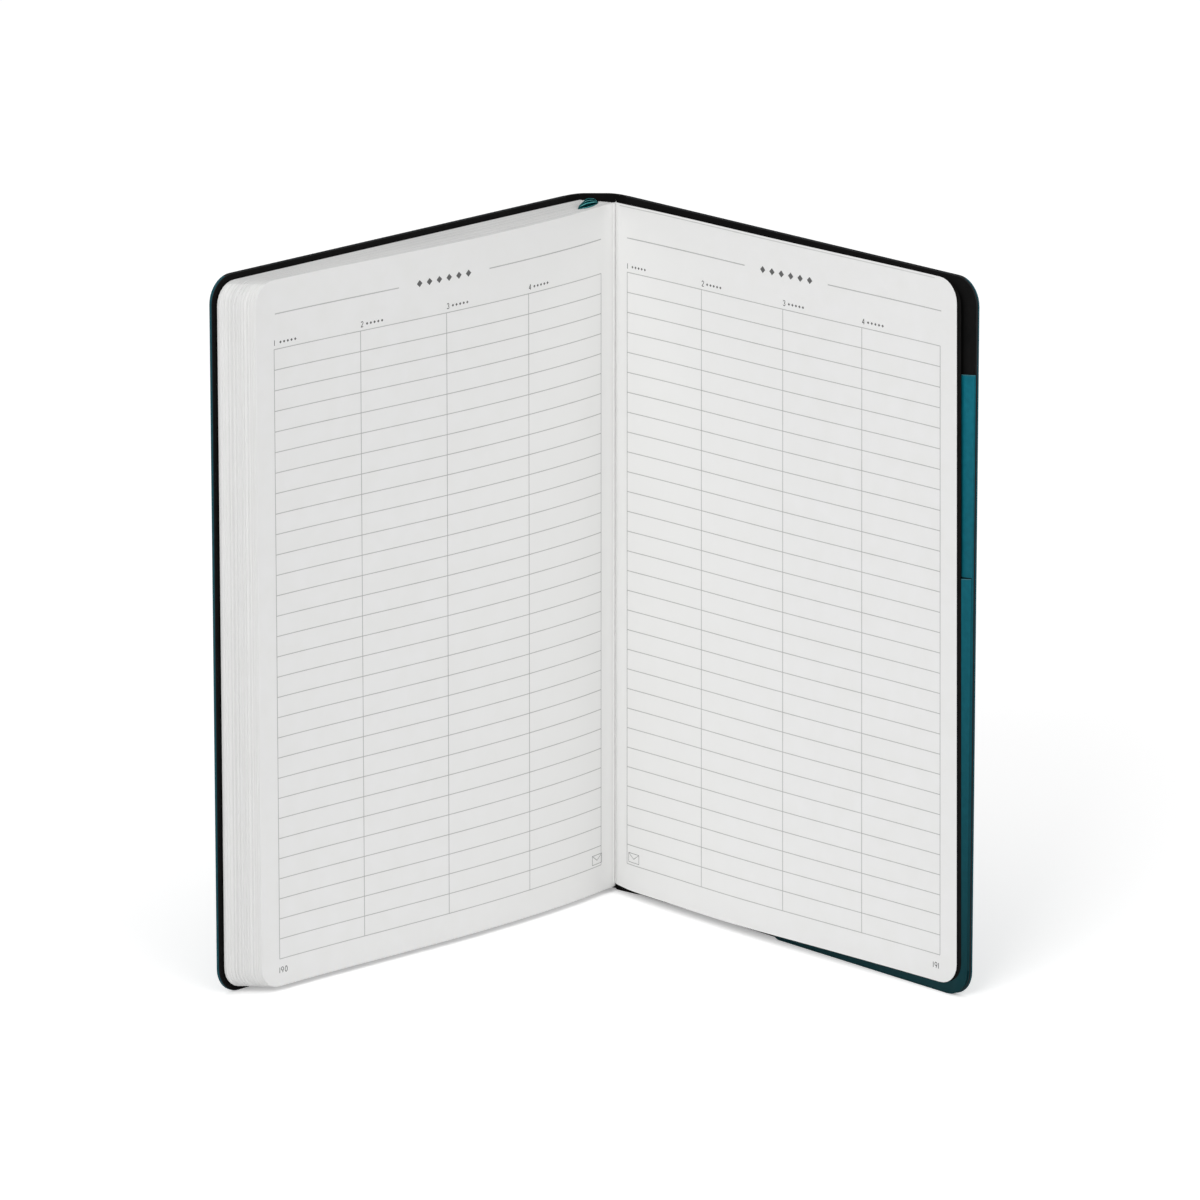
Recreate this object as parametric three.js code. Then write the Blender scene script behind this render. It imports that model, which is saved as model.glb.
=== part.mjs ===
// A soft-covered notebook with ruled pages, standing open on its foot with the spine at the back.
// Millimetres, +Z up. The origin is the middle of the foot of the spine's skin. The covers open
// towards -Y, the front cover to the left (-X) and the back cover to the right (+X).

import * as THREE from 'three';

// Covers
const coverWidth = 170;
const coverHeight = 241;
const coverCornerRadius = 9;
const skinThickness = 0.6;
const cardThickness = 0.3;
const liningThickness = 0.3;
const glueLine = 0.05;
const cardInset = 3;
const frontOpenAngle = 46;
const backOpenAngle = 47;
const hingeStripStart = 0.35;
const hingeStripWidth = 1.3;
const hingeStripGap = 0.1;

// Leaves and the sewn block
const leavesPerSignature = 8;
const leafThickness = 0.075;
const leafAir = 0.2;
const signatureCount = 12;
const foldDepthStep = 0.22;
const foldStart = 0.45;
const foreEdgeSquare = 1.5;
const headSquare = 1.9;
const leafCornerRadius = 7.5;
const lastLeafThickness = 0.15;
const flyleafThickness = 0.2;
const flyleafGap = 0.25;
const leafGap = 0.15;
const lastLeafGap = 0.27;
const rightFoldDepth = 2.2;
const rightFoldStep = 0.3;
const leftFlyleafDepth = 1.9;

// Gauze and thread behind the folds
const gauzeThickness = 0.15;
const gauzeGap = 0.1;
const gauzeEndMargin = 8;
const threadDiameter = 0.3;
const threadGap = 0.2;
const threadSides = 6;

// Ribbon bookmark
const ribbonWidth = 6;
const ribbonThickness = 0.2;
const ribbonRoom = 0.35;
const ribbonSignatureIndex = 6;
const ribbonPageGap = 0.05;
const ribbonFoldDistance = 3;
const ribbonTailFoot = 18;
const ribbonLoopWidth = 4.5;
const ribbonLoopRise = 1.3;
const ribbonLoopReach = 9.5;
const ribbonLoopX = 2.7;
const ribbonHeadGap = 0.4;

// Pocket inside the back cover
const pocketWidth = 90;
const pocketEdgeMargin = 1.2;
const pocketFootMargin = 0.8;
const pocketBackHeight = 208;
const pocketFrontHeight = 140;
const pocketPanelThickness = 0.4;
const pocketLayerGap = 0.1;
const pocketCornerRadius = 3;
const gussetWidth = 11;
const gussetCreaseDepth = 0.2;
const gussetThickness = 0.4;
const pocketClearance = 0.15;

// Smoothness of round corners
const cornerSegments = 6;
const loopSegments = 12;

// Sizes that follow from the ones above
const coverThickness = skinThickness + cardThickness + liningThickness + 2 * glueLine;
const signatureThickness = leavesPerSignature * leafThickness;
const signaturePitch = signatureThickness + leafAir;
const blockThickness = signatureCount * signaturePitch - leafAir + ribbonRoom;
const flyleafFace = coverThickness + flyleafGap;
const blockFace = flyleafFace + flyleafThickness + leafGap;
const lastLeafFace = blockFace;
const spineWidth = blockFace + blockThickness + lastLeafGap + lastLeafThickness + lastLeafFace;
const hingeX = spineWidth / 2;
const hingeRoom = hingeStripStart + hingeStripWidth + hingeStripGap;
const spineStripWidth = spineWidth - 2 * hingeRoom;
const gauzeFace = coverThickness + gauzeGap;
const firstFoldDepth = gauzeFace + gauzeThickness + threadGap + threadDiameter / 2;
const foreEdge = coverWidth - foreEdgeSquare;
const leafHeight = coverHeight - 2 * headSquare;
const pocketStart = coverWidth - pocketEdgeMargin - pocketWidth;
const gussetFace = coverThickness + pocketLayerGap + pocketPanelThickness + pocketLayerGap;
const pocketFrontFace = gussetFace + gussetThickness + pocketLayerGap;
const pocketTop = pocketFrontFace + pocketPanelThickness;
const radians = THREE.MathUtils.degToRad;

// Colours, roughness and metalness
const teal = { color: 0x1d5560, roughness: 0.55, metalness: 0 };
const pocketTeal = { color: 0x1d5d6a, roughness: 0.5, metalness: 0 };
const black = { color: 0x131313, roughness: 0.7, metalness: 0 };
const grey = { color: 0x5b5b58, roughness: 0.9, metalness: 0 };
const paper = { color: 0xe4e4e2, roughness: 0.85, metalness: 0 };
const cotton = { color: 0xf0eee6, roughness: 0.95, metalness: 0 };
const satin = { color: 0x0d5f60, roughness: 0.35, metalness: 0 };

function namedMesh(name, geometry, look) {
  const mesh = new THREE.Mesh(geometry, new THREE.MeshStandardMaterial(look));
  mesh.name = name;
  return mesh;
}

// A rectangle from the lower left to the upper right corner, with the right-hand corners rounded.
function sheetOutline(left, right, bottom, top, radius) {
  const shape = new THREE.Shape();
  shape.moveTo(left, bottom);
  shape.lineTo(right - radius, bottom);
  shape.absarc(right - radius, bottom + radius, radius, -Math.PI / 2, 0, false);
  shape.lineTo(right, top - radius);
  shape.absarc(right - radius, top - radius, radius, 0, Math.PI / 2, false);
  shape.lineTo(left, top);
  shape.closePath();
  return shape;
}

// A leaf from its fold to the fore edge, a little lower than the covers at head and foot.
function leafOutline(width) {
  return sheetOutline(foldStart, width, headSquare, headSquare + leafHeight, leafCornerRadius);
}

function squareOutline(left, right, bottom, top) {
  return new THREE.Shape([
    new THREE.Vector2(left, bottom),
    new THREE.Vector2(right, bottom),
    new THREE.Vector2(right, top),
    new THREE.Vector2(left, top),
  ]);
}

// A flat sheet that stands upright: the outline runs along X and Z, the thickness lies along Y.
// side is 1 where the pages lie towards +Y of the sheet's own frame, and -1 where they lie
// towards -Y. face is how far the sheet's outer face lies from the frame, towards the pages.
function standingSheet(shape, face, thickness, side) {
  const geometry = new THREE.ExtrudeGeometry(shape, {
    depth: thickness,
    bevelEnabled: false,
    curveSegments: cornerSegments,
  });
  geometry.rotateX(Math.PI / 2);
  geometry.translate(0, side > 0 ? face + thickness : -face, 0);
  return geometry;
}

// A frame that turns about an upright line at (x, y), with its X axis along the given direction.
function turnedFrame(x, y, direction) {
  const frame = new THREE.Group();
  frame.position.set(x, y, 0);
  frame.rotation.z = radians(direction);
  return frame;
}

// Spine: three layers of the cover, and the gauze that is glued behind the folds.
function makeSpine() {
  const spine = new THREE.Group();
  const half = spineStripWidth / 2;
  const strip = (width, height, foot) =>
    squareOutline(-width, width, foot, foot + height);
  const full = strip(half, coverHeight, 0);
  const inner = strip(half - glueLine, coverHeight - 2 * cardInset, cardInset);
  const cardFace = skinThickness + glueLine;
  const liningFace = cardFace + cardThickness + glueLine;
  const gauzeHeight = leafHeight - 2 * gauzeEndMargin;
  const gauze = strip(half, gauzeHeight, headSquare + gauzeEndMargin);
  spine.add(
    namedMesh('spine_skin', standingSheet(full, 0, skinThickness, -1), teal),
    namedMesh('spine_card', standingSheet(inner, cardFace, cardThickness, -1), grey),
    namedMesh('spine_lining', standingSheet(full, liningFace, liningThickness, -1), black),
    namedMesh('spine_gauze', standingSheet(gauze, gauzeFace, gauzeThickness, -1), cotton),
  );
  return spine;
}

function pieceNumber(index) {
  return String(index + 1).padStart(2, '0');
}

// The fold line of a signature, counted from 0 at the front cover.
function foldPlace(index) {
  const past = index >= ribbonSignatureIndex ? ribbonRoom : 0;
  return {
    x: -hingeX + blockFace + index * signaturePitch + past,
    y: -firstFoldDepth - index * foldDepthStep,
  };
}

// A thread runs along each fold, and the signature turns about it.
function makeThread(index) {
  const fold = foldPlace(index);
  const length = leafHeight - 2 * gauzeEndMargin;
  const radius = threadDiameter / 2;
  const rod = new THREE.CylinderGeometry(radius, radius, length, threadSides);
  rod.rotateX(Math.PI / 2);
  rod.translate(fold.x, fold.y, coverHeight / 2);
  return namedMesh(`sewing_thread_${pieceNumber(index)}`, rod, cotton);
}

// A signature is a folded bundle of leaves. Each is trimmed so that the fore edges are flush
// when the book is closed.
function makeSignature(index) {
  const fold = foldPlace(index);
  const frame = turnedFrame(fold.x, fold.y, 180 + frontOpenAngle);
  const width = foreEdge + fold.y;
  const name = `signature_${pieceNumber(index)}`;
  frame.add(namedMesh(name, standingSheet(leafOutline(width), 0, signatureThickness, 1), paper));
  return frame;
}

// The ribbon's tail lies in the page gap before one signature and turns with it.
function makeRibbonTail() {
  const fold = foldPlace(ribbonSignatureIndex);
  const frame = turnedFrame(fold.x, fold.y, 180 + frontOpenAngle);
  const left = foldStart + ribbonFoldDistance;
  const head = headSquare + leafHeight;
  const outline = squareOutline(left, left + ribbonWidth, ribbonTailFoot, head);
  const face = -(ribbonThickness + ribbonPageGap);
  frame.add(namedMesh('ribbon_tail', standingSheet(outline, face, ribbonThickness, 1), satin));
  return frame;
}

// The ribbon's loop rises from behind the folds, bows over the head and points down to the pages.
// It turns edgeways as it goes in between the leaves, so it is narrower there than the tail.
function makeRibbonLoop() {
  const start = headSquare + leafHeight + ribbonHeadGap + ribbonThickness;
  const outer = [];
  const inner = [];
  for (let step = 0; step <= loopSegments; step += 1) {
    const angle = (Math.PI * step) / loopSegments;
    const along = (ribbonLoopReach / 2) * (1 - Math.cos(angle));
    const up = start + ribbonLoopRise * Math.sin(angle);
    outer.push(new THREE.Vector2(along, up));
    inner.push(new THREE.Vector2(along, up - ribbonThickness));
  }
  const outline = new THREE.Shape([...outer, ...inner.reverse()]);
  const geometry = new THREE.ExtrudeGeometry(outline, {
    depth: ribbonLoopWidth,
    bevelEnabled: false,
  });
  geometry.translate(0, 0, -ribbonLoopWidth / 2);
  geometry.rotateX(Math.PI / 2);
  const back = -(gauzeFace + ribbonLoopWidth / 2);
  const frame = turnedFrame(ribbonLoopX, back, 180 + frontOpenAngle);
  frame.add(namedMesh('ribbon_loop', geometry, satin));
  return frame;
}

// The skin's fold between the spine and a cover.
function makeHingeStrip(name, side) {
  const end = hingeStripStart + hingeStripWidth;
  const outline = squareOutline(hingeStripStart, end, 0, coverHeight);
  return namedMesh(name, standingSheet(outline, 0, skinThickness, side), teal);
}

// A cover is skin, card and lining, glued flat on each other.
function addCover(frame, prefix, side) {
  const skin = sheetOutline(hingeRoom, coverWidth, 0, coverHeight, coverCornerRadius);
  const card = sheetOutline(
    hingeRoom + cardInset,
    coverWidth - cardInset,
    cardInset,
    coverHeight - cardInset,
    coverCornerRadius - cardInset,
  );
  const cardFace = skinThickness + glueLine;
  const liningFace = cardFace + cardThickness + glueLine;
  frame.add(
    namedMesh(`${prefix}_cover_skin`, standingSheet(skin, 0, skinThickness, side), teal),
    namedMesh(`${prefix}_cover_card`, standingSheet(card, cardFace, cardThickness, side), grey),
    namedMesh(
      `${prefix}_cover_lining`,
      standingSheet(skin, liningFace, liningThickness, side),
      black,
    ),
  );
}

// A loose leaf on the side of a cover, lifted about its fold line by the given angle.
function makeLooseLeaf(name, foldDepth, face, thickness, side, lift, look) {
  const frame = turnedFrame(foldDepth, side * face, side * lift);
  const width = foreEdge - foldDepth;
  frame.add(namedMesh(name, standingSheet(leafOutline(width), 0, thickness, side), look));
  return frame;
}

// The angle that lets a leaf clear the pocket's outer face.
function pocketLift(foldDepth, face, cleared) {
  const rise = pocketTop + pocketClearance + cleared - face;
  return THREE.MathUtils.radToDeg(Math.atan2(rise, pocketStart - foldDepth));
}

// A pocket panel reaches from its inner edge to just inside the cover's fore edge, with the lower
// corners rounded.
function pocketPanel(height, face) {
  const end = coverWidth - pocketEdgeMargin;
  const outerRadius = coverCornerRadius - pocketEdgeMargin;
  const foot = pocketFootMargin;
  const innerX = pocketStart + pocketCornerRadius;
  const shape = new THREE.Shape();
  shape.moveTo(innerX, foot);
  shape.lineTo(end - outerRadius, foot);
  shape.absarc(end - outerRadius, foot + outerRadius, outerRadius, -Math.PI / 2, 0, false);
  shape.lineTo(end, height);
  shape.lineTo(pocketStart, height);
  shape.lineTo(pocketStart, foot + pocketCornerRadius);
  shape.absarc(innerX, foot + pocketCornerRadius, pocketCornerRadius, Math.PI, Math.PI * 1.5, false);
  return standingSheet(shape, face, pocketPanelThickness, -1);
}

// The pocket is a back panel on the lining, a creased gusset at the fore edge and a lower front.
function addPocket(frame) {
  const back = pocketPanel(pocketBackHeight, coverThickness + pocketLayerGap);
  const front = pocketPanel(pocketFrontHeight, pocketFrontFace);
  frame.add(
    namedMesh('pocket_back_panel', back, pocketTeal),
    namedMesh('pocket_front_panel', front, pocketTeal),
    namedMesh('pocket_gusset', makeGusset(), pocketTeal),
  );
}

// The gusset is a strip along the fore edge with a sharp crease down its middle.
function makeGusset() {
  const end = coverWidth - pocketEdgeMargin;
  const middle = end - gussetWidth / 2;
  const section = new THREE.Shape([
    new THREE.Vector2(end - gussetWidth, -gussetFace),
    new THREE.Vector2(end - gussetWidth, -gussetFace - gussetThickness),
    new THREE.Vector2(middle - gussetCreaseDepth, -gussetFace - gussetThickness),
    new THREE.Vector2(middle, -gussetFace - gussetThickness + gussetCreaseDepth),
    new THREE.Vector2(middle + gussetCreaseDepth, -gussetFace - gussetThickness),
    new THREE.Vector2(end, -gussetFace - gussetThickness),
    new THREE.Vector2(end, -gussetFace),
  ]);
  const foot = pocketFootMargin + coverCornerRadius - pocketEdgeMargin;
  const geometry = new THREE.ExtrudeGeometry(section, {
    depth: pocketBackHeight - foot,
    bevelEnabled: false,
  });
  geometry.translate(0, 0, foot);
  return geometry;
}

// Everything that belongs to the front half: hinge strip, cover and flyleaf.
function makeFrontHalf() {
  const frame = turnedFrame(-hingeX, 0, 180 + frontOpenAngle);
  frame.add(makeHingeStrip('front_hinge_strip', 1));
  addCover(frame, 'front', 1);
  frame.add(makeLooseLeaf('front_flyleaf', leftFlyleafDepth, flyleafFace, flyleafThickness,
    1, 0, black));
  return frame;
}

// Everything that belongs to the back half: hinge strip, cover, pocket, flyleaf and last leaf.
function makeBackHalf() {
  const frame = turnedFrame(hingeX, 0, -backOpenAngle);
  const lastDepth = rightFoldDepth + rightFoldStep;
  const flyleafLift = pocketLift(rightFoldDepth, flyleafFace, 0);
  const lastLift = pocketLift(lastDepth, lastLeafFace, flyleafThickness + leafGap);
  frame.add(makeHingeStrip('back_hinge_strip', -1));
  addCover(frame, 'back', -1);
  addPocket(frame);
  frame.add(makeLooseLeaf('back_flyleaf', rightFoldDepth, flyleafFace, flyleafThickness,
    -1, flyleafLift, black));
  frame.add(makeLooseLeaf('last_leaf', lastDepth, lastLeafFace, lastLeafThickness,
    -1, lastLift, paper));
  return frame;
}

const notebook = new THREE.Group();
notebook.position.y = skinThickness / 2;
notebook.add(makeSpine(), makeFrontHalf(), makeBackHalf());
for (let index = 0; index < signatureCount; index += 1) {
  notebook.add(makeThread(index), makeSignature(index));
}
notebook.add(makeRibbonTail(), makeRibbonLoop());

export default notebook;
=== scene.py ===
"""The looks of a soft-covered notebook that stands open on its foot.

Lengths are in millimetres, unless a name says otherwise, and Mesh.build turns them into metres.
The spine is at the back, the front cover leans to the left and the back cover to the right.
"""

import math
import random

import bmesh
import bpy
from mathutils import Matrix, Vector


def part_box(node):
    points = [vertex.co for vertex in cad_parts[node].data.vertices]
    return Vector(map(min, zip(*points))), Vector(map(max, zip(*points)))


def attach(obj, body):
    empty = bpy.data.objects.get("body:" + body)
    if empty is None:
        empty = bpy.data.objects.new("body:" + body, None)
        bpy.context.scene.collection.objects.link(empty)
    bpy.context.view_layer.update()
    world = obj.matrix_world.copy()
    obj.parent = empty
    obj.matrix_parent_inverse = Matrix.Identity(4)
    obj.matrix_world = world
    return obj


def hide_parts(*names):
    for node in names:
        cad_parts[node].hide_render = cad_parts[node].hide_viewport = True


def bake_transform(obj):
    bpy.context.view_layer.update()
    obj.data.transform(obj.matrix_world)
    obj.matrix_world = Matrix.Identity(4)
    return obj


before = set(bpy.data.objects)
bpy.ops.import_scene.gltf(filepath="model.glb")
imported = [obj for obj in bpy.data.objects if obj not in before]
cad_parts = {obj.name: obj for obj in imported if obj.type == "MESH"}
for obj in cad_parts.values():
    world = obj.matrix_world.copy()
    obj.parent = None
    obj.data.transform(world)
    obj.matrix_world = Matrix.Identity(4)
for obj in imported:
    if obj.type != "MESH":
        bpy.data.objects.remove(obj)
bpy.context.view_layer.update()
MM = 0.001
random.seed(7)


# Places

class Leaning:
    """An upright plane through (x, y). s runs along it from the fold, out is towards the pages."""

    def __init__(self, x, y, angle, side):
        a = math.radians(angle)
        self.x, self.y = x, y
        self.u = (math.cos(a), math.sin(a))
        self.n = (-math.sin(a) * side, math.cos(a) * side)

    def at(self, s, out, z):
        return (
            self.x + s * self.u[0] + out * self.n[0],
            self.y + s * self.u[1] + out * self.n[1],
            z,
        )


def metres(point):
    return [c * MM for c in point]


FRONT_ANGLE, BACK_ANGLE = 226, -47
HINGE_X, HINGE_Y = 6.985, 0.3
front_plane = Leaning(-HINGE_X, HINGE_Y, FRONT_ANGLE, 1)
back_plane = Leaning(HINGE_X, HINGE_Y, BACK_ANGLE, -1)
LAST_LEAF_AT, LAST_LEAF_ANGLE = (7.300, -2.824), -48.051
last_plane = Leaning(*LAST_LEAF_AT, LAST_LEAF_ANGLE, -1)


def thread_place(number):
    low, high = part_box(f"sewing_thread_{number:02d}")
    middle = (low + high) / 2 / MM
    return Leaning(middle.x, middle.y, FRONT_ANGLE, 1)


SIGNATURES = 12
LEAVES = 8
folds = [thread_place(i + 1) for i in range(SIGNATURES)]

COVER_WIDTH, COVER_HEIGHT, COVER_RADIUS = 170.0, 241.0, 9.0
COVER_THICK, SKIN_THICK = 1.3, 0.66
FRONT_TURNED_IN, BACK_TURNED_IN = 1.08, 0.72
FRONT_TRIM = 1.5
LEAF_FOOT, LEAF_HEAD, LEAF_RADIUS = 1.9, 239.1, 7.5
SIGNATURE_PITCH = 0.7283
WRAP_START, WRAP_END = 3.6, 5.6
# The first number is how far from the fold the painted light on the pages fades.
# The second number is how high the painted shade at a leather's foot reaches.
FOLD_LIGHT_FADE, FOOT_SHADE_FADE = 65, 210


# Mesh and material helpers

class Mesh:
    """Collects corners and faces, each face with the number of its material."""

    def __init__(self):
        self.points, self.faces, self.kinds, self.tones = [], [], [], []
        self.tone = 0.5

    def add(self, *points):
        first = len(self.points)
        self.points.extend(points)
        self.tones.extend([self.tone] * len(points))
        return list(range(first, first + len(points)))

    def face(self, corners, kind=0):
        self.faces.append(corners)
        self.kinds.append(kind)

    def grid(self, rows, kind=0, flip=False):
        for a, b in zip(rows, rows[1:]):
            for k in range(len(a) - 1):
                quad = [a[k], a[k + 1], b[k + 1], b[k]]
                self.face(quad[::-1] if flip else quad, kind)

    def sides(self, front, back, kind=0):
        """Closes the gap between two grids along the two sides of their rows."""
        for side in (0, -1):
            self.grid([[row[side] for row in front], [row[side] for row in back]], kind)

    def build(self, name, materials, smooth=32):
        """The mesh as an object. Edges sharper than smooth degrees stay sharp."""
        data = bpy.data.meshes.new(name)
        data.from_pydata([metres(p) for p in self.points], [], self.faces)
        for material in materials:
            data.materials.append(material)
        data.polygons.foreach_set("material_index", self.kinds)
        data.polygons.foreach_set("use_smooth", [True] * len(self.faces))
        tone = data.attributes.new("tone", "FLOAT", "POINT")
        tone.data.foreach_set("value", self.tones)
        data.validate()
        data.update()
        turn_faces_outward(data)
        data.set_sharp_from_angle(angle=math.radians(smooth))
        piece = bpy.data.objects.new(name, data)
        bpy.context.scene.collection.objects.link(piece)
        return piece


def turn_faces_outward(data):
    work = bmesh.new()
    work.from_mesh(data)
    bmesh.ops.recalc_face_normals(work, faces=work.faces)
    work.to_mesh(data)
    work.free()


def ring(cx, cy, rx, ry, start=0, end=360, count=14):
    """Places along an ellipse, or along a part of it."""
    return [(cx + rx * math.cos(math.radians(start + (end - start) * k / count)),
             cy + ry * math.sin(math.radians(start + (end - start) * k / count)))
            for k in range(count + 1)]


def quarter(x, z, radius, start, steps):
    """A rounded corner about (x, z): a quarter turn from start degrees."""
    return ring(x, z, radius, radius, start, start + 90, steps)


def linear(hex_colour):
    """A colour written as in a picture, as the linear values that a shader takes."""
    out = []
    for k in (0, 2, 4):
        c = int(hex_colour[k:k + 2], 16) / 255
        out.append(c / 12.92 if c <= 0.04045 else ((c + 0.055) / 1.055) ** 2.4)
    return (*out, 1.0)


class Look:
    """A node material whose colour, roughness and bump come from procedural noise."""

    def __init__(self, name, roughness=0.6, specular=0.5, sheen=0.0):
        self.material = bpy.data.materials.new(name)
        self.material.use_nodes = True
        self.nodes = self.material.node_tree.nodes
        self.links = self.material.node_tree.links
        self.shader = self.nodes["Principled BSDF"]
        self.shader.inputs["Roughness"].default_value = roughness
        self.shader.inputs["Specular IOR Level"].default_value = specular
        self.shader.inputs["Sheen Weight"].default_value = sheen
        self.coordinates = self.nodes.new("ShaderNodeTexCoord")
        self.height = None

    def node(self, kind, **values):
        made = self.nodes.new("ShaderNode" + kind)
        for key, value in values.items():
            if key in made.inputs:
                made.inputs[key].default_value = value
            else:
                setattr(made, key, value)
        return made

    def link(self, out, into):
        self.links.new(out, into)

    def place(self, axis):
        """How far along an axis a point lies, in metres."""
        split = self.node("SeparateXYZ")
        self.link(self.coordinates.outputs["Object"], split.inputs[0])
        return split.outputs[axis]

    def stretched(self, scale):
        mapping = self.node("Mapping")
        mapping.inputs["Scale"].default_value = scale
        self.link(self.coordinates.outputs["Object"], mapping.inputs["Vector"])
        return mapping.outputs["Vector"]

    def noise(self, size, detail=2.0, stretch=(1, 1, 1), rough=0.5):
        """Noise with features of about this size in millimetres."""
        made = self.node("TexNoise", Detail=detail, Roughness=rough)
        made.inputs["Scale"].default_value = 1 / (size * MM)
        self.link(self.stretched(stretch), made.inputs["Vector"])
        return made.outputs["Fac"]

    def spread(self, value, low=0.3, high=0.7, to_low=0.0, to_high=1.0):
        """A value between low and high, spread over another range. The first one suits noise."""
        made = self.node("MapRange", clamp=True)
        for key, number in zip(("From Min", "From Max", "To Min", "To Max"),
                               (low, high, to_low, to_high)):
            made.inputs[key].default_value = number
        self.link(value, made.inputs["Value"])
        return made.outputs["Result"]

    def mix(self, factor, first, second):
        made = self.node("Mix", data_type="RGBA")
        self.link(factor, made.inputs[0])
        for socket, colour in ((made.inputs[6], first), (made.inputs[7], second)):
            if isinstance(colour, str):
                socket.default_value = linear(colour)
            else:
                self.link(colour, socket)
        return made.outputs[2]

    def colour(self, out):
        self.link(out, self.shader.inputs["Base Color"])
        return self

    def rough(self, value, low, high):
        self.link(self.spread(value, to_low=low, to_high=high), self.shader.inputs["Roughness"])
        return self

    def bump(self, value, strength, distance):
        made = self.node("Bump")
        made.inputs["Strength"].default_value = strength
        made.inputs["Distance"].default_value = distance * MM
        self.link(value, made.inputs["Height"])
        if self.height is not None:
            self.link(self.height, made.inputs["Normal"])
        self.height = made.outputs["Normal"]
        self.link(self.height, self.shader.inputs["Normal"])
        return self


GRAIN_SIZE, STREAK_SHARE = 0.5, 0.7


def leather(name, dark, light, roughness, foot=None):
    """Fine-grained leather. foot is a darker tone of painted shade that it fades to at its foot."""
    look = Look(name, roughness=roughness, specular=0.11)
    grain = look.node("TexVoronoi", feature="F1")
    grain.inputs["Scale"].default_value = 1 / (GRAIN_SIZE * MM)
    look.link(look.stretched((1, 1, 1)), grain.inputs["Vector"])
    colour = look.mix(look.spread(look.noise(2.2, 4)), dark, light)
    # Painted shade: the colour gets darker towards the foot.
    if foot:
        colour = look.mix(look.spread(look.place("Z"), 0.0, FOOT_SHADE_FADE * MM), foot, colour)
    look.colour(colour)
    look.rough(look.noise(4, 3), roughness - 0.05, roughness + 0.05)
    look.bump(grain.outputs["Distance"], 0.12, 0.05)
    look.bump(look.noise(0.9, 3), 0.06, 0.05)
    return look.material


def plain_paper(name, low, high, fibre=0.10, roughness=0.82, specular=0.2, fold=None):
    """Smooth paper. fold is a paler tone of painted light that it has beside the fold between two
    pages.
    """
    look = Look(name, roughness=roughness, specular=specular)
    colour = look.mix(look.spread(look.noise(7, 4)), low, high)
    # Painted light: the paper gets paler towards the fold.
    if fold:
        side = look.node("Math", operation="SUBTRACT")
        look.link(look.place("X"), side.inputs[0])
        side.inputs[1].default_value = HINGE_X * MM
        away = look.node("Math", operation="ABSOLUTE")
        look.link(side.outputs[0], away.inputs[0])
        colour = look.mix(look.spread(away.outputs[0], 0.0, FOLD_LIGHT_FADE * MM), fold, colour)
    look.colour(colour)
    look.rough(look.noise(1.5, 2), roughness - 0.05, roughness + 0.05)
    look.bump(look.noise(0.5, 4, (1, 1, 0.6)), fibre, 0.03)
    return look.material


def cut_edges(name, low, high, stretch):
    """The cut edges of many leaves: each leaf has a tone of its own, broken up along its length."""
    look = Look(name, roughness=0.88, specular=0.2)
    tone = look.node("Attribute", attribute_name="tone")
    streak = look.noise(1.2, 3, stretch)
    total = look.node("Math", operation="MULTIPLY_ADD")
    look.link(streak, total.inputs[0])
    total.inputs[1].default_value = STREAK_SHARE
    look.link(tone.outputs["Fac"], total.inputs[2])
    look.colour(look.mix(look.spread(total.outputs[0], 0.3, 1.3), low, high))
    look.bump(streak, 0.15, 0.05)
    return look.material


def woven(name, dark, light, thread_size, roughness, specular=0.06, sheen=0.2):
    """Cloth with threads that cross, as the product of two waves."""
    look = Look(name, roughness=roughness, specular=specular, sheen=sheen)
    # A band texture with a scale of 0.32 / d repeats about every d.
    waves = []
    for direction in ("X", "Z"):
        wave = look.node("TexWave", wave_type="BANDS", bands_direction=direction)
        wave.inputs["Scale"].default_value = 0.32 / (thread_size * MM)
        wave.inputs["Distortion"].default_value = 0.6
        look.link(look.coordinates.outputs["Object"], wave.inputs["Vector"])
        waves.append(wave.outputs["Fac"])
    weave = look.node("Math", operation="MULTIPLY")
    look.link(waves[0], weave.inputs[0])
    look.link(waves[1], weave.inputs[1])
    look.colour(look.mix(look.spread(weave.outputs[0], 0.0, 0.9), dark, light))
    look.rough(look.noise(2, 2), roughness - 0.05, roughness + 0.1)
    look.bump(weave.outputs[0], 0.35, 0.05)
    return look.material


teal_leather = leather("teal_leather", "123f48", "164a54", 0.6)
# The pocket's leather gets darker towards its foot as painted shade.
pocket_leather = leather("pocket_leather", "035f6f", "0a6a7b", 0.55, "022e33")
pocket_cut = leather("pocket_cut", "3d747e", "568a93", 0.6)
pocket_shade = leather("pocket_shade", "021d21", "03262b", 0.7)
black_paper = plain_paper("black_paper", "080808", "0e0d0d", 0.25, 0.75, 0.07)
black_edges = plain_paper("black_edges", "212021", "292829", 0.25, 0.8, 0.07)
# The pages get paler towards the fold as painted light.
page_paper = plain_paper("page_paper", "e4e4e3", "e6e6e6", fibre=0.04, fold="e9e9e8")
fore_edges = cut_edges("leaf_fore_edges", "d6d6d5", "e7e7e6", (1, 1, 0.05))
# The head and foot edges are a darker copy of the cut edges, as painted shade.
shaded_head_edges = cut_edges("leaf_head_edges_painted_shade", "c3c3c3", "dcdcdb", (0.05, 0.05, 1))
print_grey = plain_paper("print_grey", "aeaeae", "b7b7b7", fibre=0.02)
# Pale strips of painted highlight beside the fold.
crease_highlight = plain_paper("crease_highlight", "f4f4f3", "f8f8f7", fibre=0.02)
print_dark = plain_paper("print_dark", "5e5e5e", "676767", fibre=0.02)
print_fine = plain_paper("print_fine", "3d3d3d", "464646", fibre=0.02)
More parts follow.
